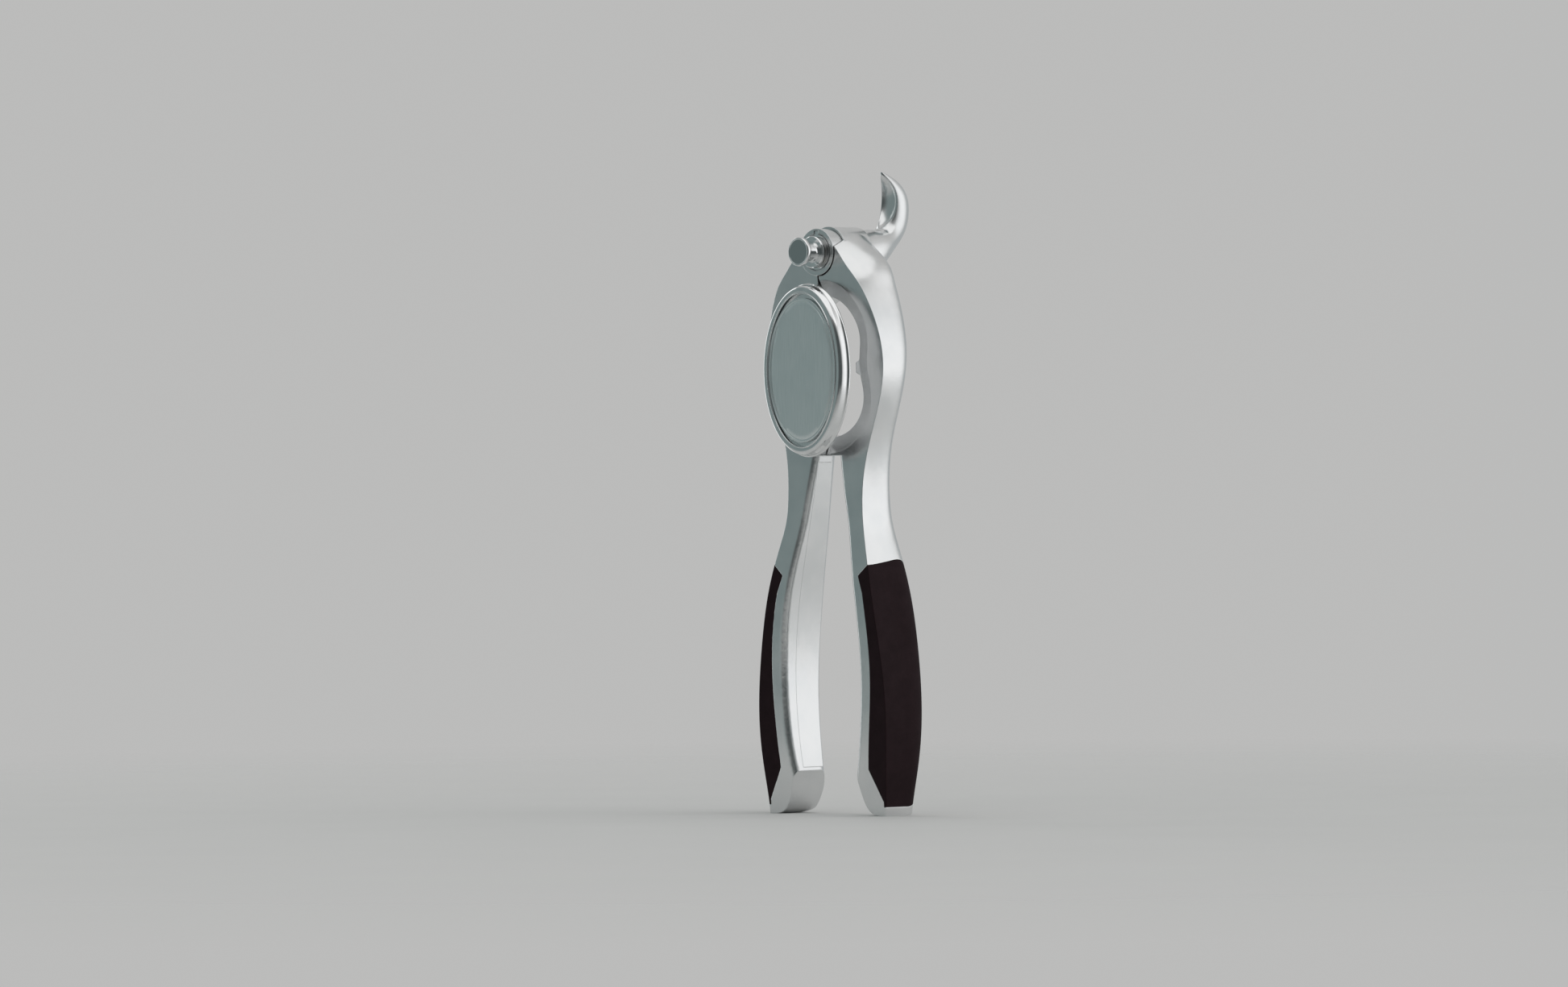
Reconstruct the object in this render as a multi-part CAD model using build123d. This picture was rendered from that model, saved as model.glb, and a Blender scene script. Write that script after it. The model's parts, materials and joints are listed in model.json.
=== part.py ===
from build123d import *
import math
import os

os.makedirs("parts", exist_ok=True)

# Champagne cork opener: two levers hinged at the top, with soft grips, a cover disc and a wire claw.
# Millimetres. X runs across the levers, -Y is the front and +Z is up. The left lever is at -X.
# Shapes are drawn with Y = 0 in the middle of the levers and moved to the row's origin when saved.

# Levers
pivot_height = 175.3
palm_half_width = 27.7
hub_half_depth = 8.5
lever_gap = 0.3
rear_round = 3.0
opening_drop = 13.8
opening_length = 43.9
opening_half_width = 14.3
opening_roll_width = 5.2
opening_roll_depth = 1.9
opening_rear_round = 0.6
slit_top_half_width = 0.35
slit_half_width = 0.8
slit_curl = 1.9
web_height = 5.7
handle_gap_half_width = 16.0
handle_front_round = 2.2
handle_rear_round = 4.0
foot_flat_inner = 23.0
foot_rise = 13.5
foot_heel_round = 6.0
foot_heel_back = 3.0
foot_inner_half_width = 13.0
tooth_height = 4.6
tooth_reach = 1.4
tooth_half_depth = 3.6
tooth_taper = 0.8
inner_panel_depth = 0.5
inner_panel_front = 3.4
inner_panel_foot_margin = 1.0
inner_panel_top_margin = 2.0
overrun = 3.0

# Hinge
front_knuckle_radius = 7.3
front_knuckle_front = 8.9
middle_knuckle_radius = 8.0
middle_knuckle_back = 8.2
knuckle_joint = 3.9
knuckle_washer_thickness = 0.4
knuckle_washer_radius = 7.0
swing_gap = 0.3
shank_radius = 3.0
running_clearance = 0.04
stud_head_radius = 4.5
stud_head_front = 17.0
stud_head_thickness = 1.5
stud_head_chamfer = 0.4
stud_neck_radius = 3.4
neck_shoulder = 11.1
thread_radius = 2.5
thread_end = 14.6
thread_chamfer = 0.5
bushing_radius = 4.3
recess_radius = 5.9
recess_depth = 1.4
head_washer_radius = 5.0
head_washer_thickness = 1.2
washer_edge = 0.3
spring_washer_radius = 4.8
spring_washer_thickness = 0.6
spring_washer_cone = 0.6
washer_play = 0.05
tab_washer_radius = 5.4
tab_width = 1.6
tab_tip_radius = 6.6
tab_side_play = 0.15

# Wire claw, bolted behind the right lever's knuckle
claw_root_radius = 7.3
claw_shim_thickness = 0.3
claw_root_length = 4.5
claw_reach = 31.0
claw_rise = 25.7
claw_half_width = 4.2
scoop_radius = 5.6
scoop_half_height = 8.6
scoop_back_margin = 11.4
scoop_tip_margin = 9.3
insert_radius = 3.6
insert_length = 6.4
dowel_radius = 1.0
dowel_circle = 5.6
dowel_depth = 3.0
dowel_end_play = 0.1
dowel_play = 0.02

# Cover disc, carried by the left lever
cover_drop = 1.05
cover_side_lap = 2.35
cover_end_lap = 3.75
cover_front = 16.2
cover_back = 12.3
cover_flange_margin = 1.35
cover_flange_thickness = 0.8
cover_edge_width = 0.7
cover_edge_drop = 0.6
cover_side_rim = 2.0
cover_end_rim = 3.2
plate_play = 0.1
plate_thickness = 0.8
plate_sink = 0.2
plate_groove_inset = 0.8
plate_groove_width = 0.4
plate_groove_depth = 0.15
pad_thickness = 0.4
pad_margin = 0.8
wall_thickness = 3.8
wall_margin = 0.95
cover_screw_radius = 0.8
cover_screw_head_radius = 1.3
cover_screw_head_thickness = 1.2
cover_screw_length = 15.6
cover_screw_engagement = 1.6
cover_screw_play = 0.1
cover_screw_socket_radius = 0.6
cover_screw_socket_depth = 0.7
cover_screw_inset = 1.3
cover_screw_angles = (98.5, 245.0)

# Soft grips and their hard carriers
grip_end = 2.8
carrier_half_depth = 4.6
carrier_thickness = 2.6
carrier_end_margin = 9.0
tang_half_depth = 2.8
tang_reach = 1.4
tang_end_margin = 12.0

# Sizes that follow from the ones above
row_shift = (stud_head_front - claw_reach) / 2
half_gap = lever_gap / 2
opening_top = pivot_height - opening_drop
opening_bottom = opening_top - opening_length
handle_gap_top = opening_bottom - web_height
cover_height = (opening_top + opening_bottom) / 2 - cover_drop
cover_half_width = opening_half_width + cover_side_lap
cover_half_height = opening_length / 2 + cover_end_lap
plate_half_width = cover_half_width - cover_side_rim
plate_half_height = cover_half_height - cover_end_rim
inner_panel_bottom = foot_rise + inner_panel_foot_margin
inner_panel_top = handle_gap_top - inner_panel_top_margin
front_knuckle_back = knuckle_joint + knuckle_washer_thickness / 2
middle_knuckle_front = knuckle_joint - knuckle_washer_thickness / 2
recess_floor = front_knuckle_front - recess_depth
claw_front = middle_knuckle_back + claw_shim_thickness
head_washer_back = neck_shoulder - head_washer_thickness
bushing_bore = shank_radius + running_clearance
cover_floor = cover_front - plate_sink - plate_thickness - pad_thickness
cover_screw_tip = cover_back + cover_screw_engagement
cover_screw_seat = cover_screw_length - cover_screw_tip
reach = palm_half_width * 2

# Lever stations: height, crease and crown across, front and rear depth, as shares of the lever's sizes
station_shares = (
    (0.0, 0.910, 0.924, 0.73, 0.80),
    (0.046, 0.939, 0.957, 0.80, 0.86),
    (0.114, 0.982, 1.004, 0.93, 0.98),
    (0.205, 0.993, 1.014, 1.00, 1.05),
    (0.328, 0.895, 0.920, 1.07, 1.11),
    (0.445, 0.733, 0.765, 0.97, 1.01),
    (0.569, 0.585, 0.628, 0.71, 0.78),
    (0.667, 0.682, 0.720, 0.58, 0.67),
    (0.742, 0.845, 0.864, 0.58, 0.68),
    (0.806, 0.910, 0.926, 0.65, 0.74),
    (0.869, 0.846, 0.866, 0.75, 0.84),
    (0.921, 0.716, 0.752, 0.89, 0.92),
    (0.954, 0.575, 0.670, 0.96, 0.94),
    (0.978, 0.435, 0.585, 0.99, 0.95),
    (1.000, 0.325, 0.440, 1.00, 0.95),
    (1.014, 0.245, 0.335, 1.00, 0.95),
    (1.026, 0.165, 0.242, 1.00, 0.95),
    (1.035, 0.100, 0.172, 1.00, 0.95),
)

# Right half of the opening's edge: across and height shares, from its top to its bottom
opening_shares = (
    (0.0, 1.0),
    (0.657, 0.920),
    (0.972, 0.720),
    (0.912, 0.492),
    (1.0, 0.291),
    (0.790, 0.112),
    (0.0, 0.0),
)

# Inner edge of the handle from its top corner down: across and height shares of the handle gap
handle_inner_shares = (
    (0.306, 0.9964),
    (0.400, 0.9294),
    (0.650, 0.7623),
    (0.875, 0.6060),
    (0.996, 0.4468),
    (0.969, 0.2663),
)

# Metal edge of the grip from its top down: across shares of the palm, height shares of the handle gap
grip_edge_shares = (
    (0.672, 0.617),
    (0.718, 0.554),
    (0.770, 0.411),
    (0.744, 0.268),
    (0.693, 0.130),
)
grip_top_shares = (0.596, 0.666)
grip_arch_shares = (0.768, 0.717)
grip_crease_shares = (0.740, 0.697)
grip_foot_shares = (0.892, 0.040)

# Claw sections from root to tip: rearward, upward, half thickness and half width shares, lean in degrees
claw_section_shares = (
    (0.565, 0.072, 1.320, 1.570, 10.4),
    (0.663, 0.144, 0.995, 1.330, 27.8),
    (0.756, 0.245, 1.007, 1.095, 57.0),
    (0.826, 0.395, 1.152, 1.000, 82.0),
    (0.848, 0.584, 1.126, 0.976, 96.0),
    (0.823, 0.755, 0.940, 0.833, 98.5),
    (0.768, 0.872, 0.650, 0.571, 98.5),
    (0.706, 0.949, 0.336, 0.286, 98.0),
    (0.662, 0.994, 0.080, 0.080, 98.0),
)


def save(node, shape):
    """Write one node, moved to the row's origin."""
    export_step(Pos(0, row_shift, 0) * shape, "parts/" + node + ".step")


def slab(face, front, back):
    """A front-view outline (X, Z) made solid from y = front to y = back."""
    return extrude(Plane.XZ.offset(-back) * face, back - front)


def rod(radius, front, back, x=0, z=pivot_height):
    """A round bar along Y, on the hinge axis unless placed elsewhere."""
    return Pos(x, (front + back) / 2, z) * Rot(90, 0, 0) * Cylinder(radius, back - front)


def oval(half_width, half_height):
    """An oval around the cover disc's centre, in the front view."""
    return Pos(0, cover_height) * Ellipse(half_width, half_height)


def right_side():
    """Everything on the right of the levers' parting plane."""
    width = reach - half_gap
    return Pos(half_gap + width / 2, 0, pivot_height / 2) * Box(width, reach * 2, pivot_height * 2)


def edges_at(shape, low, high):
    """Edges whose centre lies inside a box."""

    def inside(edge):
        centre = edge.center()
        above = centre.X > low[0] and centre.Y > low[1] and centre.Z > low[2]
        return above and centre.X < high[0] and centre.Y < high[1] and centre.Z < high[2]

    return [edge for edge in shape.edges() if inside(edge)]


def lever_section(share):
    """One level section of the lever: flat front, sharp front crease and a crowned, soft rear side."""
    height, crease, crown, front, rear = share
    inside = -palm_half_width / 4
    x_crown = crown * palm_half_width
    y_front = -front * hub_half_depth
    y_rear = rear * hub_half_depth
    corner = Vector(crease * palm_half_width, y_front)
    middle = Vector(x_crown, (y_front + y_rear) / 2 + y_rear / 8)
    end = Vector(x_crown - rear_round, y_rear)
    side = Spline(corner, middle, end, tangents=[middle - corner, (-1, 0)])
    rest = Polyline(end, (inside, y_rear), (inside, y_front), corner)
    return Plane.XY.offset(height * pivot_height) * make_face(side + rest)


def lever_envelope():
    """Outer shape of the right lever with its grip, before anything is cut from it."""
    return loft([lever_section(share) for share in station_shares]) - foot_heel()


def opening_face():
    """Oval opening between the jaws, slightly waisted in the middle."""
    height = opening_top - opening_bottom
    right = [(x * opening_half_width, opening_bottom + z * height) for x, z in opening_shares]
    left = [(-x, z) for x, z in reversed(right[1:-1])]
    return make_face(Spline(*(right + left), periodic=True))


def handle_gap_face():
    """Space between the handles, with the slanted ends of the feet."""
    points = [(x * handle_gap_half_width, z * handle_gap_top) for x, z in handle_inner_shares]
    heel = (foot_inner_half_width, foot_rise)
    toe = (foot_flat_inner, 0)
    top = (points[0][0], handle_gap_top)
    inner = Spline(top, *points[1:], heel)
    slant = Spline(heel, toe, tangents=[(foot_inner_half_width, -foot_flat_inner), (1, 0)])
    left = -points[0][0]
    below = (foot_flat_inner, -overrun)
    rest = Polyline(toe, below, (left, -overrun), (left, handle_gap_top), top)
    return make_face(inner + slant + rest)


def inner_panel_face():
    """Step in the inner face of the handle, behind a narrow bead along its front."""
    across = handle_gap_half_width + inner_panel_depth
    points = [(x * across, z * handle_gap_top) for x, z in handle_inner_shares]
    heel = (foot_inner_half_width + inner_panel_depth, foot_rise)
    rest = Polyline(heel, (0, foot_rise), (0, points[0][1]), points[0])
    height = inner_panel_top - inner_panel_bottom
    window = Pos(reach / 2, inner_panel_bottom + height / 2) * Rectangle(reach, height)
    return make_face(Spline(*points, heel) + rest) & window


def jaw_slit(half_width, curl):
    """Dark slit between the jaws' fronts, from the knuckle down to the opening, on the right."""
    high = pivot_height - front_knuckle_radius
    low = opening_top - overrun
    start = (slit_top_half_width, high)
    turn = (half_width, opening_top + curl / 2)
    end = (half_width + curl, low)
    side = Spline(start, turn, end)
    return slab(make_face(side + Polyline(end, (-half_width, low), (-half_width, high), start)), -reach, 0)


def foot_heel():
    """Space under the rounded rear of the feet."""
    side = foot_heel_round + overrun
    block = Pos(0, foot_heel_back + side / 2, foot_heel_round - side / 2) * Box(reach * 2, side, side)
    return block - Pos(0, foot_heel_back, foot_heel_round) * Rot(0, 90, 0) * Cylinder(foot_heel_round, reach * 2)


def grip_edge_points():
    """Points of the grip's metal edge, from its top down."""
    return [(x * palm_half_width, z * handle_gap_top) for x, z in grip_edge_shares]


def grip_face():
    """Front-view region outside the metal edge of the grip."""
    points = grip_edge_points()
    foot = (grip_foot_shares[0] * palm_half_width, grip_foot_shares[1] * handle_gap_top)
    top = (grip_top_shares[0] * palm_half_width, grip_top_shares[1] * handle_gap_top)
    crease = (grip_crease_shares[0] * palm_half_width, grip_crease_shares[1] * handle_gap_top)
    arch = (grip_arch_shares[0] * palm_half_width, grip_arch_shares[1] * handle_gap_top)
    outside = Polyline(points[-1], foot, (foot[0], grip_end), (reach, grip_end), (reach, arch[1]))
    upper = Polyline(outside @ 1, arch, crease, top, points[0])
    return make_face(Spline(*points) + outside + upper)


def grip_space():
    """Everything outside the metal edge of the grip, above a rim along the foot."""
    depth = hub_half_depth * 2
    return slab(grip_face(), -depth, depth) - Pos(0, 0, grip_end) * foot_heel()


def inner_grip_face(thickness, end_margin):
    """Front-view region of a piece inside the grip, from the grip's metal edge outwards."""
    points = grip_edge_points()
    inside = [(x - overrun, z) for x, z in points]
    outside = [(x + thickness, z) for x, z in reversed(points)]
    ends = Line(inside[-1], outside[0]) + Line(outside[-1], inside[0])
    region = make_face(Spline(*inside) + Spline(*outside) + ends)
    low = points[-1][1] + end_margin / 2
    high = points[0][1] - end_margin
    window = Pos(reach / 2, (low + high) / 2) * Rectangle(reach, high - low)
    return region & window


def tooth():
    """Cork tooth on the middle of the right jaw's inner wall."""
    middle = opening_bottom + opening_shares[3][1] * (opening_top - opening_bottom)
    wall = opening_shares[3][0] * opening_half_width
    tip = wall - tooth_reach
    back = wall + tooth_reach
    low = middle - tooth_height / 2
    high = middle + tooth_height / 2
    outline = Polyline((back, low), (wall, low), (tip, low + tooth_taper), (tip, high - tooth_taper),
                       (wall, high), (back, high), close=True)
    return slab(make_face(outline), -tooth_half_depth, tooth_half_depth)


def cover_wall():
    """Oval wall on the front of a jaw that carries the cover disc."""
    outer_width = cover_half_width + wall_margin
    outer_height = cover_half_height + wall_margin
    ring = oval(outer_width, outer_height) - oval(outer_width - wall_thickness, outer_height - wall_thickness)
    return slab(ring, -cover_back, -overrun)


def roll_opening(blank, edges):
    """Front edge of the opening cut back to a broad shallow slope."""
    beside = [face for face in blank.faces() if any(edge.is_same(edges[0]) for edge in face.edges())]
    front = min(beside, key=lambda face: face.center().Y)
    return chamfer(edges, opening_roll_width, opening_roll_depth, reference=front)


def lever_metal(envelope, carries_cover):
    """Jaw, lug, handle and foot of a lever as it lies on the right, before the hinge is made."""
    depth = hub_half_depth * 2
    start = envelope
    if carries_cover:
        start = envelope + cover_wall()
    blank = start - slab(opening_face(), -depth, depth) - slab(handle_gap_face(), -depth, depth)
    low = (0, overrun, opening_bottom)
    high = (opening_half_width, depth, opening_top)
    blank = fillet(edges_at(blank, low, high), opening_rear_round)
    if not carries_cover:
        low = (0, -depth, opening_bottom)
        high = (opening_half_width, 0, opening_top)
        blank = roll_opening(blank, edges_at(blank, low, high))
    low = (foot_inner_half_width, -depth, handle_gap_top / 2)
    high = (handle_gap_half_width, 0, handle_gap_top * 2 / 3)
    blank = fillet(edges_at(blank, low, high), handle_front_round)
    low = (foot_inner_half_width, 0, handle_gap_top / 3)
    high = (handle_gap_half_width, depth, handle_gap_top * 2 / 3)
    blank = fillet(edges_at(blank, low, high), handle_rear_round)
    blank = blank - slab(inner_panel_face(), -inner_panel_front, depth)
    tang = slab(inner_grip_face(tang_reach, tang_end_margin), -tang_half_depth, tang_half_depth)
    bare = blank - grip_space()
    return (bare + (blank & tang) + tooth()) & right_side()


def grip_and_carrier(envelope):
    """Right grip and the hard carrier inside it."""
    region = grip_space()
    tang = slab(inner_grip_face(tang_reach, tang_end_margin), -tang_half_depth, tang_half_depth)
    core = inner_grip_face(carrier_thickness, carrier_end_margin)
    block = slab(core, -carrier_half_depth, carrier_half_depth)
    carrier = (block & region) - tang
    grip = (envelope & region) - block - tang
    return grip, carrier


def dowel_places():
    """Centres of the two dowels, level with the hinge axis."""
    return [(dowel_circle, pivot_height), (-dowel_circle, pivot_height)]


def right_lever(metal):
    """Right lever with the middle knuckle and the holes for the shank and the claw's dowels."""
    knuckle = rod(middle_knuckle_radius, -middle_knuckle_front, middle_knuckle_back)
    lever = metal - jaw_slit(slit_half_width, 0) + knuckle
    lever -= rod(front_knuckle_radius + swing_gap, -reach, -middle_knuckle_front)
    lever -= rod(bushing_bore, -reach, reach)
    for x, z in dowel_places():
        bottom = middle_knuckle_back - dowel_depth - dowel_end_play
        lever -= rod(dowel_radius + dowel_play, bottom, reach, x, z)
    return lever


def cover_screw_places():
    """Centres of the screws that hold the cover disc, on the wall behind it."""
    wide = cover_half_width + wall_margin - cover_screw_inset
    high = cover_half_height + wall_margin - cover_screw_inset
    places = []
    for angle in cover_screw_angles:
        turn = math.radians(angle)
        places.append((wide * math.cos(turn), cover_height + high * math.sin(turn)))
    return places


def tab_bar(width, tip, front, back):
    """Bar from the hinge axis up to the washer's locking tab."""
    return Pos(0, (front + back) / 2, pivot_height + tip / 2) * Box(width, back - front, tip)


def left_lever(metal):
    """Left lever with the front knuckle, its washer recess and the holes of the cover's screws."""
    depth = hub_half_depth * 2
    lever = mirror(metal - jaw_slit(slit_half_width, slit_curl), about=Plane.YZ)
    lever += rod(front_knuckle_radius, -front_knuckle_front, -front_knuckle_back)
    notch_tip = tab_tip_radius + tab_side_play
    cutters = [
        rod(middle_knuckle_radius + swing_gap, -front_knuckle_back, reach),
        rod(bushing_radius, -reach, reach),
        rod(recess_radius, -reach, -recess_floor),
        tab_bar(tab_width + tab_side_play * 2, notch_tip, -depth, -recess_floor),
    ]
    for x, z in cover_screw_places():
        cutters.append(rod(cover_screw_radius + cover_screw_play, -reach, reach, x, z))
        cutters.append(rod(cover_screw_head_radius + cover_screw_play, cover_screw_seat, reach, x, z))
    return lever - cutters


def pivot_screw():
    """Long screw with a spool-shaped head that pins the levers and the claw together."""
    head = rod(stud_head_radius, -stud_head_front, -stud_head_front + stud_head_thickness)
    head = chamfer(head.edges().filter_by(GeomType.CIRCLE).sort_by(Axis.Y)[0], stud_head_chamfer)
    neck = rod(stud_neck_radius, -stud_head_front + stud_head_thickness, -neck_shoulder)
    shank = rod(shank_radius, -neck_shoulder, claw_front)
    thread = rod(thread_radius, claw_front, thread_end)
    thread = chamfer(thread.edges().filter_by(GeomType.CIRCLE).sort_by(Axis.Y)[-1], thread_chamfer)
    return head + neck + shank + thread


def head_washer():
    """Thick ring under the spool's neck."""
    ring = rod(head_washer_radius, -neck_shoulder, -head_washer_back)
    ring = chamfer(ring.edges().filter_by(GeomType.CIRCLE), washer_edge)
    return ring - rod(bushing_bore, -reach, reach)


def spring_washer():
    """Coned spring washer between the head washer and the tab washer."""
    inner = bushing_bore
    front = -head_washer_back
    back = front + spring_washer_thickness
    outline = Polyline((inner, front), (spring_washer_radius, front + spring_washer_cone),
                       (spring_washer_radius, back + spring_washer_cone), (inner, back), close=True)
    ring = revolve(make_face(outline), Axis.Y)
    return Pos(0, 0, pivot_height) * ring


def tab_washer():
    """Washer in the knuckle's recess, locked by a tab that reaches into a notch."""
    front = -head_washer_back + spring_washer_thickness + spring_washer_cone + washer_play
    ring = rod(tab_washer_radius, front, -recess_floor)
    ring += tab_bar(tab_width, tab_tip_radius, front, -recess_floor)
    return ring - rod(bushing_bore, -reach, reach)


def pivot_bushing():
    """Plain bearing bush pressed into the front knuckle."""
    return rod(bushing_radius, -recess_floor, -front_knuckle_back) - rod(bushing_bore, -reach, reach)


def knuckle_washer():
    """Thin washer between the two knuckles, resting on the right lever's."""
    ring = rod(knuckle_washer_radius, -front_knuckle_back + washer_play, -middle_knuckle_front)
    return ring - rod(bushing_bore, -reach, reach)


def claw_shim():
    """Shim between the right lever's knuckle and the claw's root."""
    shim = rod(knuckle_washer_radius, middle_knuckle_back, claw_front) - rod(bushing_bore, -reach, reach)
    for x, z in dowel_places():
        shim -= rod(dowel_radius + dowel_play, -reach, reach, x, z)
    return shim


def claw_section(share):
    """One oval section of the claw, on a plane that leans back as the claw rises."""
    back, up, thickness, width, lean = share
    turn = math.radians(lean)
    centre = (0, back * claw_reach, pivot_height + up * claw_rise)
    plane = Plane(origin=centre, x_dir=(1, 0, 0), z_dir=(0, math.cos(turn), math.sin(turn)))
    return plane * Ellipse(width * claw_half_width, thickness * claw_half_width)


def claw_scoop():
    """Barrel-shaped space in front of the claw that hollows its front face."""
    low = (0, -scoop_half_height)
    high = (0, scoop_half_height)
    profile = Plane.XZ * make_face(ThreePointArc(low, (scoop_radius, 0), high) + Line(high, low))
    centre = (0, claw_reach - scoop_back_margin, pivot_height + claw_rise - scoop_tip_margin)
    return Pos(*centre) * revolve(profile, Axis.Z)


def root_section(back):
    """One round section of the claw's root."""
    plane = Plane(origin=(0, back, pivot_height), x_dir=(1, 0, 0), z_dir=(0, 1, 0))
    return plane * Ellipse(claw_root_radius, claw_root_radius)


def wire_claw():
    """Hooked claw with a scooped front face and a round root."""
    sections = [root_section(claw_front), root_section(claw_front + claw_root_length)]
    sections += [claw_section(share) for share in claw_section_shares]
    before = claw_front - overrun
    cutters = [claw_scoop(), rod(insert_radius, before, claw_front + insert_length)]
    for x, z in dowel_places():
        hole = dowel_radius + dowel_play
        cutters.append(rod(hole, before, claw_front + dowel_depth + dowel_end_play, x, z))
    return loft(sections) - cutters


def claw_insert():
    """Threaded insert in the claw's root that takes the pivot screw."""
    insert = rod(insert_radius, claw_front, claw_front + insert_length)
    return insert - rod(thread_radius, 0, thread_end + dowel_end_play)


def claw_dowels():
    """Two dowels that keep the claw from turning on the right lever."""
    pins = [rod(dowel_radius, middle_knuckle_back - dowel_depth, claw_front + dowel_depth, x, z)
            for x, z in dowel_places()]
    return Compound(children=pins)


def cover_bezel():
    """Dish of the cover disc: flange, sloping rim and the seat of the plate."""
    flange_width = cover_half_width + cover_flange_margin
    flange_height = cover_half_height + cover_flange_margin
    rim_back = cover_back + cover_flange_thickness
    rim_front = cover_front - cover_edge_drop
    body = slab(oval(flange_width, flange_height), -rim_back, -cover_back)
    back_face = Plane.XZ.offset(rim_back) * oval(flange_width, flange_height)
    rim_face = Plane.XZ.offset(rim_front) * oval(cover_half_width, cover_half_height)
    edge = oval(cover_half_width - cover_edge_width, cover_half_height - cover_edge_width)
    front_face = Plane.XZ.offset(cover_front) * edge
    body += loft([back_face, rim_face])
    body += loft([rim_face, front_face])
    seat = oval(plate_half_width + plate_play, plate_half_height + plate_play)
    body -= slab(seat, -reach, -cover_floor)
    for x, z in cover_screw_places():
        body -= rod(cover_screw_radius, -cover_screw_tip - cover_screw_play, 0, x, z)
    return body


def cover_plate():
    """Bare oval plate with a fine groove along its edge."""
    front = -cover_front + plate_sink
    plate = slab(oval(plate_half_width, plate_half_height), front, front + plate_thickness)
    outer = oval(plate_half_width - plate_groove_inset, plate_half_height - plate_groove_inset)
    inset = plate_groove_inset + plate_groove_width
    inner = oval(plate_half_width - inset, plate_half_height - inset)
    return plate - slab(outer - inner, front, front + plate_groove_depth)


def plate_pad():
    """Adhesive pad under the plate."""
    pad = oval(plate_half_width - pad_margin, plate_half_height - pad_margin)
    return slab(pad, -cover_floor - pad_thickness, -cover_floor)


def cover_screw(x, z):
    """One screw from behind the left jaw into the cover disc."""
    shaft = rod(cover_screw_radius, -cover_screw_tip, cover_screw_seat, x, z)
    head_back = cover_screw_seat + cover_screw_head_thickness
    head = rod(cover_screw_head_radius, cover_screw_seat, head_back, x, z)
    socket = rod(cover_screw_socket_radius, head_back - cover_screw_socket_depth, reach, x, z)
    return shaft + head - socket


envelope = lever_envelope()
right_grip, right_carrier = grip_and_carrier(envelope)

save("right_lever", right_lever(lever_metal(envelope, False)))
save("left_lever", left_lever(lever_metal(envelope, True)))
save("right_grip", right_grip)
save("left_grip", mirror(right_grip, about=Plane.YZ))
save("right_grip_carrier", right_carrier)
save("left_grip_carrier", mirror(right_carrier, about=Plane.YZ))
save("pivot_screw", pivot_screw())
save("head_washer", head_washer())
save("spring_washer", spring_washer())
save("tab_washer", tab_washer())
save("pivot_bushing", pivot_bushing())
save("knuckle_washer", knuckle_washer())
save("claw_shim", claw_shim())
save("wire_claw", wire_claw())
save("claw_insert", claw_insert())
save("claw_dowels", claw_dowels())
save("cover_bezel", cover_bezel())
save("cover_plate", cover_plate())
save("plate_pad", plate_pad())
save("cover_screws", Compound(children=[cover_screw(x, z) for x, z in cover_screw_places()]))
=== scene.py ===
"""Champagne cork opener: two chromed levers with soft grips, a wire claw and an oval cover disc."""
import json
import math

import bpy
from mathutils import Matrix, Vector


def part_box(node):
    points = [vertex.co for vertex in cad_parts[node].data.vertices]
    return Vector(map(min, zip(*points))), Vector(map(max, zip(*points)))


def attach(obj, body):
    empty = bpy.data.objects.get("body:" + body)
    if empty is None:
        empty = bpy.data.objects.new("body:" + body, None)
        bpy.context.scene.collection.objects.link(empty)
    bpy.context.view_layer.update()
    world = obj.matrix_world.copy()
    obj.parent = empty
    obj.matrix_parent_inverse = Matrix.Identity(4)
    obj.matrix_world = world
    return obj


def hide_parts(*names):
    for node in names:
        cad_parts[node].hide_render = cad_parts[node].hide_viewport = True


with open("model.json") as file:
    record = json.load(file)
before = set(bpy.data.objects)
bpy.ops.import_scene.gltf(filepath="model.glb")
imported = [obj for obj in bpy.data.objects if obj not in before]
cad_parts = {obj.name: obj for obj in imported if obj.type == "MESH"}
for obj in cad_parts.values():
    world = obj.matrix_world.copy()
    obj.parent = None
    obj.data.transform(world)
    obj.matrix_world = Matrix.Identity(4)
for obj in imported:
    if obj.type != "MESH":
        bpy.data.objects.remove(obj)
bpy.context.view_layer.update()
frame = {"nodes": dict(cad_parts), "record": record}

MM = 0.001
UP = Vector((0, 0, 1))

# Camera, as read from the photograph: its width in pixels, the sensor's in mm, lengths in metres
# and angles in degrees
PHOTO_WIDTH = 1946
SENSOR_WIDTH = 36.0
PIXELS_PER_METRE = 3968.0
CAMERA_AZIMUTH = 45.0
CAMERA_DISTANCE = 2.6
CAMERA_ASIDE = -0.0220
CAMERA_HEIGHT = 0.10025
CAMERA_ROLL = -0.55
NEAREST_SEEN = 0.01

# Studio: a pale sweep all round, with a dark card to the left of the camera, a bright wall to the
# right, a grey card straight behind the object and a dark opening round the camera
PALE_SWEEP = (0.50, 0.50, 0.495)
DARK_CARD = (0.20, 0.245, 0.245)
BRIGHT_WALL = (0.94, 0.945, 0.95)
REAR_CARD = (0.45, 0.47, 0.475)
CAMERA_OPENING = (0.07, 0.08, 0.08)

# Floor: a round sheet that fades between two shares of its radius
FLOOR_COLOUR = (0.74, 0.74, 0.73)
FLOOR_RADIUS = 0.8
FLOOR_SIDES = 96
FADE_START = 0.15
FADE_END = 0.95

# Samples of a finish's soft edges
EDGE_SAMPLES = 6

# Turned pieces: sides round the axis, how near points are merged, and the angle below which an
# edge is shaded smooth
TURNED_SIDES = 144
MERGE_DISTANCE = 0.001 * MM
SMOOTH_ANGLE = math.radians(50)

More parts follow.
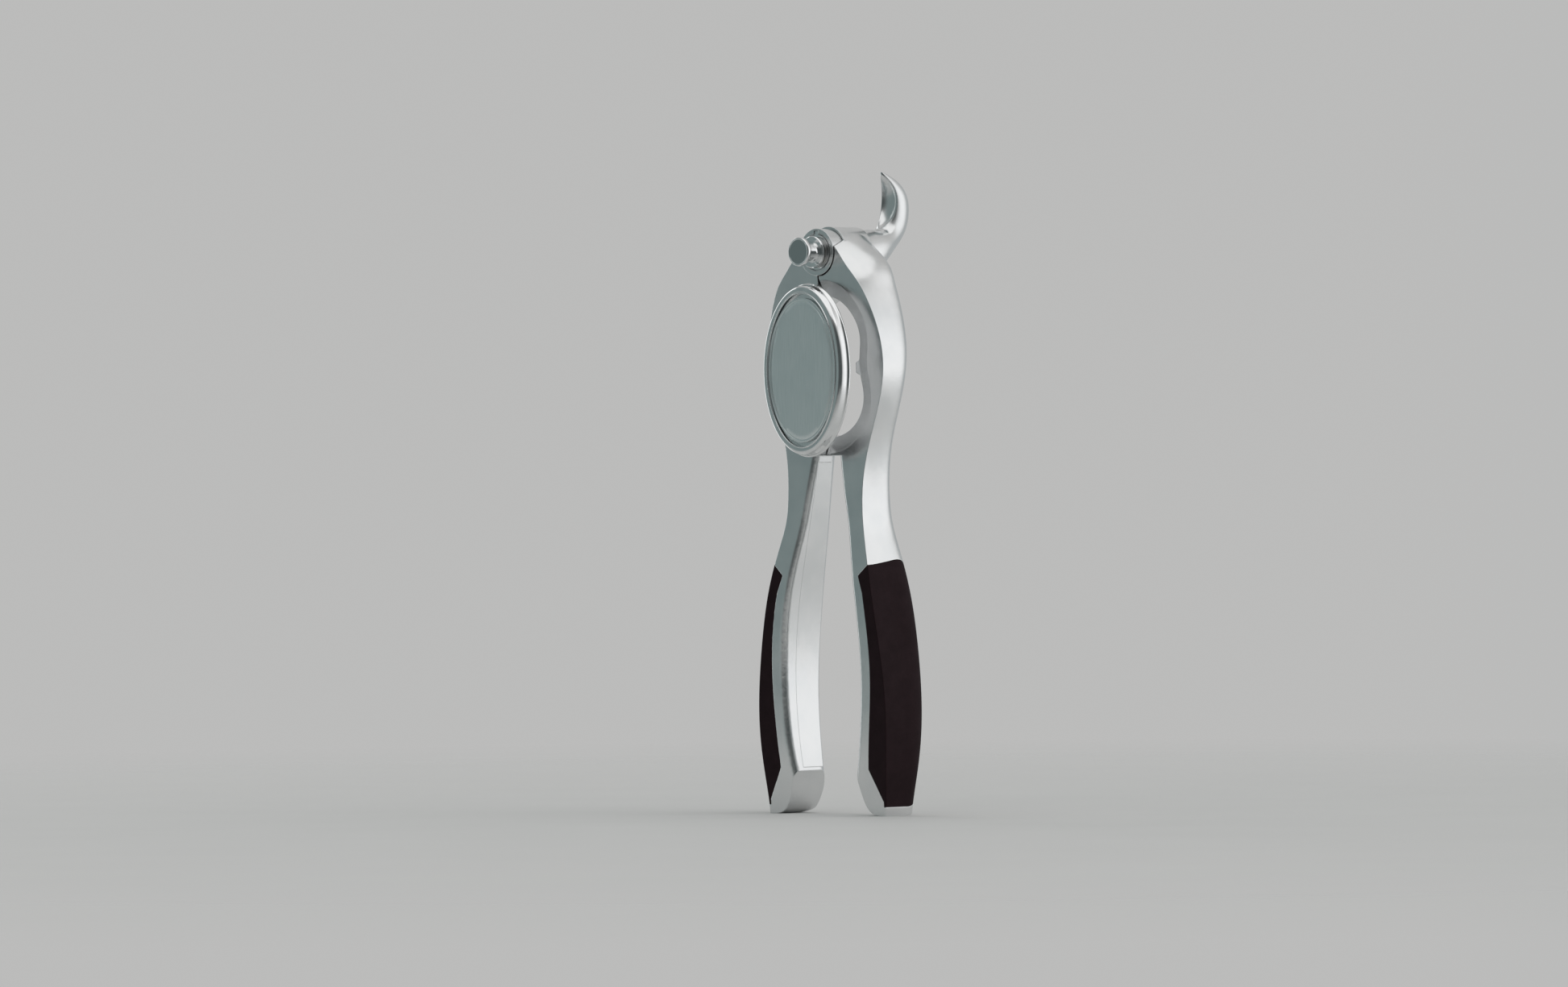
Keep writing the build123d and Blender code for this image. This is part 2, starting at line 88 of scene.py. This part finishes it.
# Bezel and plate: rings from the back to the front, as inset from the node's outline and depth
# behind its front, in mm
BEZEL_RINGS = (
    (0.60, 3.90), (0.0, 3.75), (0.0, 3.25), (0.15, 3.10), (0.42, 2.90), (0.50, 2.20), (0.62, 1.50),
    (0.85, 0.85), (1.20, 0.35), (1.65, 0.08), (2.10, 0.0), (2.50, 0.04), (2.80, 0.14), (2.84, 0.0),
    (2.93, -0.10), (3.05, -0.14), (3.17, -0.10), (3.25, 0.02), (3.25, 1.40),
)
PLATE_RINGS = (
    (0.10, 0.80), (0.0, 0.70), (0.0, 0.08), (0.08, 0.0), (0.60, 0.0), (0.70, 0.12), (0.85, 0.15),
    (1.00, 0.12), (1.10, 0.0), (2.50, -0.02), (5.50, -0.06), (9.0, -0.08),
)

# Pivot screw: rings from the back to the front, as radius and depth behind the front, in mm
SCREW_RINGS = (
    (2.10, 31.60), (2.50, 31.20), (2.50, 25.50), (3.0, 25.50), (3.0, 5.90), (3.40, 5.90),
    (3.40, 5.70), (3.28, 5.30), (3.20, 4.60), (3.20, 2.30), (3.28, 1.80), (3.42, 1.50),
    (4.20, 1.50), (4.40, 1.42), (4.50, 1.22), (4.50, 0.42), (4.42, 0.20), (4.24, 0.03),
    (4.06, 0.0), (3.90, 0.05), (3.86, 0.12), (1.50, 0.16),
)

# Painted shade on the screw's dished face, a darker tone laid into the chrome's colour: how far it reaches
#  in mm, and the share of that within which it is full
DISH_RADIUS = 3.95
DISH_DEPTH = 0.8
DISH_FULL = 0.93
DISH_PAINTED_SHADE = (0.46, 0.485, 0.485)


def nothing_selected():
    """Leaves no object selected, so that the next operator acts on its own piece."""
    if bpy.context.object and bpy.context.object.mode != "OBJECT":
        bpy.ops.object.mode_set(mode="OBJECT")
    bpy.ops.object.select_all(action="DESELECT")


def outwards(azimuth):
    """Level direction away from the object at an azimuth in degrees: 0 is its front, 90 is +X."""
    turn = math.radians(azimuth)
    return Vector((math.sin(turn), -math.cos(turn), 0))


def middle_of(node):
    """Middle of a node across and up."""
    low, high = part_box(node)
    return (low[0] + high[0]) / 2, (low[2] + high[2]) / 2


def front_of(node):
    """Where the front of a node stands along Y."""
    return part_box(node)[0][1]


def new_finish(name, colour, metallic, roughness):
    """A finish with its node tree and its shader, ready for its grain."""
    finish = bpy.data.materials.new(name)
    finish.use_nodes = True
    tree = finish.node_tree
    shader = tree.nodes["Principled BSDF"]
    shader.inputs["Base Color"].default_value = (*colour, 1)
    shader.inputs["Metallic"].default_value = metallic
    shader.inputs["Roughness"].default_value = roughness
    return finish, tree, shader


def object_place(tree, centre=(0, 0, 0), stretch=(1, 1, 1)):
    """Object coordinates, centred on a place and stretched."""
    coords = tree.nodes.new("ShaderNodeTexCoord")
    mapping = tree.nodes.new("ShaderNodeMapping")
    mapping.vector_type = "TEXTURE"
    mapping.inputs["Location"].default_value = centre
    mapping.inputs["Scale"].default_value = stretch
    tree.links.new(coords.outputs["Object"], mapping.inputs["Vector"])
    return mapping.outputs["Vector"]


def grain(tree, place, size, detail=3.0, roughness=0.5):
    """Noise whose lumps are about the given size in metres."""
    noise = tree.nodes.new("ShaderNodeTexNoise")
    noise.inputs["Scale"].default_value = 1 / size
    noise.inputs["Detail"].default_value = detail
    noise.inputs["Roughness"].default_value = roughness
    tree.links.new(place, noise.inputs["Vector"])
    return noise.outputs["Fac"]


def cells(tree, place, size):
    """Distance from the middle of the nearest of many cells of about the given size in metres."""
    voronoi = tree.nodes.new("ShaderNodeTexVoronoi")
    voronoi.inputs["Scale"].default_value = 1 / size
    tree.links.new(place, voronoi.inputs["Vector"])
    return voronoi.outputs["Distance"]


def distance_from_middle(tree, place):
    """Length of a place's vector."""
    length = tree.nodes.new("ShaderNodeVectorMath")
    length.operation = "LENGTH"
    tree.links.new(place, length.inputs[0])
    return length.outputs["Value"]


def spread(tree, value, low=0.0, high=1.0, at_low=0.0, at_high=1.0):
    """A value from low to high spread over a new range."""
    ranged = tree.nodes.new("ShaderNodeMapRange")
    ranged.inputs["From Min"].default_value = low
    ranged.inputs["From Max"].default_value = high
    ranged.inputs["To Min"].default_value = at_low
    ranged.inputs["To Max"].default_value = at_high
    tree.links.new(value, ranged.inputs["Value"])
    return ranged.outputs["Result"]


def patches(tree, place, size, low=0.3, high=0.7, detail=3.0, roughness=0.5):
    """Noise whose values from low to high are spread from 0 to 1, as soft patches."""
    return spread(tree, grain(tree, place, size, detail, roughness), low, high)


def tint(tree, value, dark, light):
    """A colour that goes from dark to light with a value from 0 to 1."""
    mix = tree.nodes.new("ShaderNodeMix")
    mix.data_type = "RGBA"
    mix.inputs["A"].default_value = (*dark, 1)
    mix.inputs["B"].default_value = (*light, 1)
    tree.links.new(value, mix.inputs["Factor"])
    return mix.outputs["Result"]


def over(tree, under, colour, share):
    """A plain colour laid over another one by a share from 0 to 1."""
    mix = tree.nodes.new("ShaderNodeMix")
    mix.data_type = "RGBA"
    mix.inputs["B"].default_value = (*colour, 1)
    tree.links.new(share, mix.inputs["Factor"])
    tree.links.new(under, mix.inputs["A"])
    return mix.outputs["Result"]


def colour_by(tree, shader, share, dark, light):
    """Gives the shader a colour that goes from dark to light with a share from 0 to 1."""
    tree.links.new(tint(tree, share, dark, light), shader.inputs["Base Color"])


def roughness_by(tree, shader, share, at_none, at_full):
    """Gives the shader a roughness that changes with a share from 0 to 1."""
    tree.links.new(spread(tree, share, at_low=at_none, at_high=at_full), shader.inputs["Roughness"])


def edge_softness(tree, radius):
    """Shading that runs smoothly round sharp edges."""
    soft = tree.nodes.new("ShaderNodeBevel")
    soft.samples = EDGE_SAMPLES
    soft.inputs["Radius"].default_value = radius
    return soft.outputs["Normal"]


def relief(tree, shader, height, depth, strength, under=None):
    """Bumps of the given depth in metres on the shader, over any that lie under them."""
    bump = tree.nodes.new("ShaderNodeBump")
    bump.inputs["Strength"].default_value = strength
    bump.inputs["Distance"].default_value = depth
    tree.links.new(height, bump.inputs["Height"])
    if under:
        tree.links.new(under, bump.inputs["Normal"])
    tree.links.new(bump.outputs["Normal"], shader.inputs["Normal"])
    return bump.outputs["Normal"]


def satin_chrome():
    """Pearl chrome over die-cast zinc: a soft blasted grain, faint hand marks and waviness."""
    finish, tree, shader = new_finish("satin_chrome", (0.80, 0.81, 0.81), metallic=1.0, roughness=0.22)
    place = object_place(tree)
    marks = patches(tree, place, size=9 * MM, detail=4.0)
    colour_by(tree, shader, marks, dark=(0.74, 0.755, 0.76), light=(0.82, 0.825, 0.825))
    roughness_by(tree, shader, marks, at_none=0.18, at_full=0.25)
    soft = edge_softness(tree, radius=0.35 * MM)
    waves = grain(tree, place, size=14 * MM, detail=1.0)
    wavy = relief(tree, shader, waves, depth=0.05 * MM, strength=0.35, under=soft)
    blasted = grain(tree, place, size=0.22 * MM, detail=2.0)
    relief(tree, shader, blasted, depth=0.010 * MM, strength=0.30, under=wavy)
    return finish


def where_dish_shade_is_painted(tree):
    """Share of painted shade: 1 on the dished face of the pivot screw's head and 0 elsewhere, with a soft
    edge between.
    """
    across, up = middle_of("pivot_screw")
    centre = (across, front_of("pivot_screw"), up)
    dish = object_place(tree, centre, stretch=(DISH_RADIUS * MM, DISH_DEPTH * MM, DISH_RADIUS * MM))
    return spread(tree, distance_from_middle(tree, dish), low=1.0, high=DISH_FULL)


def bright_chrome():
    """Polished chrome with fine turning marks, a few wipe marks and painted shade on the screw's dished
    face.
    """
    finish, tree, shader = new_finish("bright_chrome", (0.84, 0.85, 0.85), metallic=1.0, roughness=0.08)
    wipe = patches(tree, object_place(tree), size=3 * MM, low=0.35, detail=5.0)
    chrome = tint(tree, wipe, dark=(0.80, 0.81, 0.815), light=(0.87, 0.875, 0.875))
    # Painted shade: a darker colour laid over the chrome on the screw's dished face
    tree.links.new(over(tree, chrome, DISH_PAINTED_SHADE, where_dish_shade_is_painted(tree)), shader.inputs["Base Color"])
    roughness_by(tree, shader, wipe, at_none=0.06, at_full=0.13)
    soft = edge_softness(tree, radius=0.15 * MM)
    turning = grain(tree, object_place(tree, stretch=(40, 1, 40)), size=0.12 * MM, detail=2.0)
    relief(tree, shader, turning, depth=0.004 * MM, strength=0.4, under=soft)
    return finish


def brushed_plate():
    """Brushed plate: fine upright brushing, a little uneven in shine."""
    finish, tree, shader = new_finish("brushed_plate", (0.72, 0.77, 0.77), metallic=1.0, roughness=0.34)
    brushing = grain(tree, object_place(tree, stretch=(1, 1, 60)), size=0.10 * MM)
    streaks = spread(tree, brushing, low=0.3, high=0.7)
    colour_by(tree, shader, streaks, dark=(0.74, 0.80, 0.80), light=(0.86, 0.905, 0.905))
    uneven = patches(tree, object_place(tree), size=7 * MM)
    roughness_by(tree, shader, uneven, at_none=0.42, at_full=0.50)
    relief(tree, shader, brushing, depth=0.006 * MM, strength=0.5)
    return finish


def soft_grip():
    """Dark aubergine soft plastic: fine eroded grain, with paler and smoother patches of rubbing."""
    finish, tree, shader = new_finish("soft_grip", (0.016, 0.007, 0.010), metallic=0.0, roughness=0.6)
    shader.inputs["Specular IOR Level"].default_value = 0.13
    place = object_place(tree)
    rub = patches(tree, place, size=5 * MM, detail=7.0, roughness=0.65)
    colour_by(tree, shader, rub, dark=(0.014, 0.0052, 0.0072), light=(0.020, 0.0076, 0.0105))
    roughness_by(tree, shader, rub, at_none=0.64, at_full=0.56)
    soft = edge_softness(tree, radius=0.5 * MM)
    pores = cells(tree, place, size=0.35 * MM)
    pored = relief(tree, shader, pores, depth=0.03 * MM, strength=0.5, under=soft)
    eroded = grain(tree, place, size=0.9 * MM)
    relief(tree, shader, eroded, depth=0.03 * MM, strength=0.3, under=pored)
    return finish


def spring_steel():
    """Hardened steel with a patchy straw tint and a fine ground surface."""
    finish, tree, shader = new_finish("spring_steel", (0.55, 0.55, 0.54), metallic=1.0, roughness=0.3)
    place = object_place(tree)
    temper = patches(tree, place, size=2.5 * MM, low=0.35, high=0.65)
    colour_by(tree, shader, temper, dark=(0.46, 0.45, 0.43), light=(0.60, 0.60, 0.60))
    roughness_by(tree, shader, temper, at_none=0.24, at_full=0.38)
    ground = grain(tree, place, size=0.08 * MM)
    relief(tree, shader, ground, depth=0.006 * MM, strength=0.5)
    return finish


def bush_bronze():
    """Sintered bronze: warm, porous and slightly oily."""
    finish, tree, shader = new_finish("bush_bronze", (0.60, 0.42, 0.22), metallic=1.0, roughness=0.36)
    pores = patches(tree, object_place(tree), size=0.25 * MM, low=0.35, high=0.6, detail=4.0)
    colour_by(tree, shader, pores, dark=(0.34, 0.22, 0.11), light=(0.66, 0.48, 0.27))
    roughness_by(tree, shader, pores, at_none=0.55, at_full=0.30)
    relief(tree, shader, pores, depth=0.02 * MM, strength=0.5)
    return finish


def hard_core():
    """Moulded black plastic with a fine spark-eroded texture."""
    finish, tree, shader = new_finish("hard_core", (0.018, 0.018, 0.020), metallic=0.0, roughness=0.5)
    place = object_place(tree)
    cloud = patches(tree, place, size=4 * MM)
    colour_by(tree, shader, cloud, dark=(0.014, 0.014, 0.016), light=(0.024, 0.024, 0.027))
    roughness_by(tree, shader, cloud, at_none=0.45, at_full=0.60)
    eroded = grain(tree, place, size=0.15 * MM, detail=2.0)
    relief(tree, shader, eroded, depth=0.02 * MM, strength=0.5)
    return finish


def adhesive():
    """Off-white foam adhesive with small closed cells."""
    finish, tree, shader = new_finish("adhesive", (0.62, 0.60, 0.54), metallic=0.0, roughness=0.8)
    foam = cells(tree, object_place(tree), size=0.3 * MM)
    wall = spread(tree, foam, low=0.1, high=0.7)
    colour_by(tree, shader, wall, dark=(0.48, 0.46, 0.41), light=(0.68, 0.66, 0.60))
    relief(tree, shader, wall, depth=0.05 * MM, strength=0.6)
    return finish


def dress(node, finish):
    """Gives a node of the frame its finish."""
    slots = frame["nodes"][node].material_slots
    if not slots:
        frame["nodes"][node].data.materials.append(finish)
    for slot in slots:
        slot.material = finish


def turned(name, middle, rings):
    """A piece turned about an axis along Y, round or oval, from rings of half width, half height and Y."""
    across, up = middle
    nothing_selected()
    bpy.ops.mesh.primitive_circle_add(
        vertices=TURNED_SIDES, radius=1, fill_type="NGON", rotation=(math.pi / 2, 0, 0)
    )
    piece = bpy.context.object
    piece.name = name
    bpy.ops.object.transform_apply(location=False, rotation=True, scale=False)
    bpy.ops.object.mode_set(mode="EDIT")
    bpy.ops.mesh.select_all(action="SELECT")
    wide, high, back = rings[0]
    bpy.ops.transform.resize(value=(wide, 1, high), center_override=(0, 0, 0))
    bpy.ops.transform.translate(value=(across, back, up))
    for last, ring in zip(rings, rings[1:]):
        step = (0, ring[2] - last[2], 0)
        growth = (ring[0] / last[0], 1, ring[1] / last[1])
        bpy.ops.mesh.extrude_region_move(TRANSFORM_OT_translate={"value": step})
        bpy.ops.transform.resize(value=growth, center_override=(across, 0, up))
    bpy.ops.mesh.select_all(action="SELECT")
    bpy.ops.mesh.remove_doubles(threshold=MERGE_DISTANCE)
    bpy.ops.mesh.normals_make_consistent(inside=False)
    bpy.ops.object.mode_set(mode="OBJECT")
    bpy.ops.object.shade_smooth_by_angle(angle=SMOOTH_ANGLE)
    return piece


def stand_for(piece, node, body, slot):
    """The piece takes a node's place on its body, in the finish of its material slot."""
    piece.data.materials.append(finishes[slot])
    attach(piece, body)
    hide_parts(node)


def inset_rings(node, rings):
    """Rings of an oval piece: the node's outline less an inset, at a depth behind its front."""
    low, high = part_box(node)
    half_width = (high[0] - low[0]) / 2
    half_height = (high[2] - low[2]) / 2
    return [
        (half_width - inset * MM, half_height - inset * MM, low[1] + depth * MM)
        for inset, depth in rings
    ]


def cover_bezel():
    """Polished frame of the cover disc: flange, round side, dark cove and a bead round the plate."""
    piece = turned("cover_frame", middle_of("cover_bezel"), inset_rings("cover_bezel", BEZEL_RINGS))
    stand_for(piece, "cover_bezel", "left_side", "bright_chrome")


def cover_plate():
    """Faintly crowned bare plate with a groove along its edge."""
    piece = turned("bare_plate", middle_of("cover_plate"), inset_rings("cover_plate", PLATE_RINGS))
    stand_for(piece, "cover_plate", "left_side", "brushed_plate")


def pivot_screw():
    """Spool-headed screw with a waisted neck and a rim round its shallow dished face."""
    front = front_of("pivot_screw")
    rings = [(radius * MM, radius * MM, front + depth * MM) for radius, depth in SCREW_RINGS]
    piece = turned("spool_screw", middle_of("pivot_screw"), rings)
    stand_for(piece, "pivot_screw", "right_side", "bright_chrome")


def floor_finish():
    """Pale matt floor that fades into the background far from the object."""
    finish, tree, shader = new_finish("studio_floor", FLOOR_COLOUR, metallic=0.0, roughness=0.75)
    place = object_place(tree)
    clouds = grain(tree, place, size=60 * MM)
    colour_by(tree, shader, clouds, dark=(0.72, 0.72, 0.71), light=(0.76, 0.76, 0.75))
    fade_start = FLOOR_RADIUS * FADE_START
    fade_end = FLOOR_RADIUS * FADE_END
    shown = spread(tree, distance_from_middle(tree, place), fade_start, fade_end, at_low=1.0, at_high=0.0)
    tree.links.new(shown, shader.inputs["Alpha"])
    return finish


def lay_floor():
    """Round floor under the object."""
    nothing_selected()
    bpy.ops.mesh.primitive_circle_add(vertices=FLOOR_SIDES, radius=FLOOR_RADIUS, fill_type="NGON")
    floor = bpy.context.object
    floor.name = "studio_floor"
    floor.data.materials.append(floor_finish())


def world_side(tree, under, azimuth, colour, edge, core):
    """A soft patch of the surroundings round an azimuth, none at edge and full at core.

    Both are on a scale from 0, straight opposite the azimuth, to 1, straight at it.
    """
    coords = tree.nodes.new("ShaderNodeTexCoord")
    towards = tree.nodes.new("ShaderNodeVectorMath")
    towards.operation = "DOT_PRODUCT"
    towards.inputs[1].default_value = outwards(azimuth)
    tree.links.new(coords.outputs["Generated"], towards.inputs[0])
    return over(tree, under, colour, spread(tree, towards.outputs["Value"], edge * 2 - 1, core * 2 - 1))


def light_world():
    """Soft surroundings: dark to the front left and round the camera, grey behind, bright to the right."""
    world = bpy.data.worlds.new("studio")
    bpy.context.scene.world = world
    world.use_nodes = True
    tree = world.node_tree
    sweep = tree.nodes.new("ShaderNodeRGB").outputs["Color"]
    sweep.default_value = (*PALE_SWEEP, 1)
    walls = world_side(tree, sweep, azimuth=-45, colour=DARK_CARD, edge=0.64, core=0.86)
    walls = world_side(tree, walls, azimuth=184, colour=REAR_CARD, edge=0.90, core=0.97)
    walls = world_side(tree, walls, azimuth=113, colour=BRIGHT_WALL, edge=0.82, core=0.95)
    walls = world_side(tree, walls, CAMERA_AZIMUTH, colour=CAMERA_OPENING, edge=0.78, core=0.93)
    tree.links.new(walls, tree.nodes["Background"].inputs["Color"])


def softbox(name, azimuth, elevation, distance, width, height, level):
    """A soft rectangular lamp that faces the object; its level is how bright its face is at any size."""
    rise = math.radians(elevation)
    away = outwards(azimuth) * math.cos(rise) * distance
    place = away + UP * (math.sin(rise) * distance + CAMERA_HEIGHT)
    nothing_selected()
    bpy.ops.object.light_add(type="AREA", location=place)
    lamp = bpy.context.object
    lamp.name = name
    lamp.data.shape = "RECTANGLE"
    lamp.data.size = width
    lamp.data.size_y = height
    lamp.data.energy = level * math.pi * width * height
    aim = UP * CAMERA_HEIGHT - place
    lamp.rotation_euler = aim.to_track_quat("-Z", "Y").to_euler()


def light_object():
    """A weak softbox from the right rear, a wide one from above and a bright one from the left."""
    softbox("right_softbox", azimuth=135, elevation=15, distance=1.6, width=1.6, height=2.4, level=0.10)
    softbox("top_softbox", azimuth=60, elevation=75, distance=1.6, width=2.0, height=2.0, level=0.50)
    softbox("left_softbox", azimuth=-93, elevation=5, distance=1.8, width=1.0, height=2.2, level=0.9)


def set_camera():
    """Level camera at the photograph's angle, distance and slight roll."""
    back = outwards(CAMERA_AZIMUTH)
    right = UP.cross(back)
    place = right * CAMERA_ASIDE + back * CAMERA_DISTANCE + UP * CAMERA_HEIGHT
    nothing_selected()
    bpy.ops.object.camera_add(location=place)
    camera = bpy.context.object
    camera.name = "photo_camera"
    facing = Matrix((right, UP, back)).transposed().to_4x4()
    roll = Matrix.Rotation(math.radians(CAMERA_ROLL), 4, "Z")
    camera.matrix_world = Matrix.Translation(place) @ facing @ roll
    camera.data.sensor_width = SENSOR_WIDTH
    camera.data.lens = PIXELS_PER_METRE * CAMERA_DISTANCE / PHOTO_WIDTH * SENSOR_WIDTH
    camera.data.clip_start = NEAREST_SEEN
    bpy.context.scene.camera = camera


def set_studio():
    """Camera, lamps, floor and colour handling."""
    bpy.context.scene.view_settings.view_transform = "Standard"
    light_world()
    light_object()
    lay_floor()
    set_camera()


set_studio()
finishes = {
    "satin_chrome": satin_chrome(),
    "bright_chrome": bright_chrome(),
    "brushed_plate": brushed_plate(),
    "soft_grip": soft_grip(),
    "spring_steel": spring_steel(),
    "bush_bronze": bush_bronze(),
    "hard_core": hard_core(),
    "adhesive": adhesive(),
}
for part in frame["record"]["subparts"]:
    dress(part["node"], finishes[part["material_slot"]])
cover_bezel()
cover_plate()
pivot_screw()
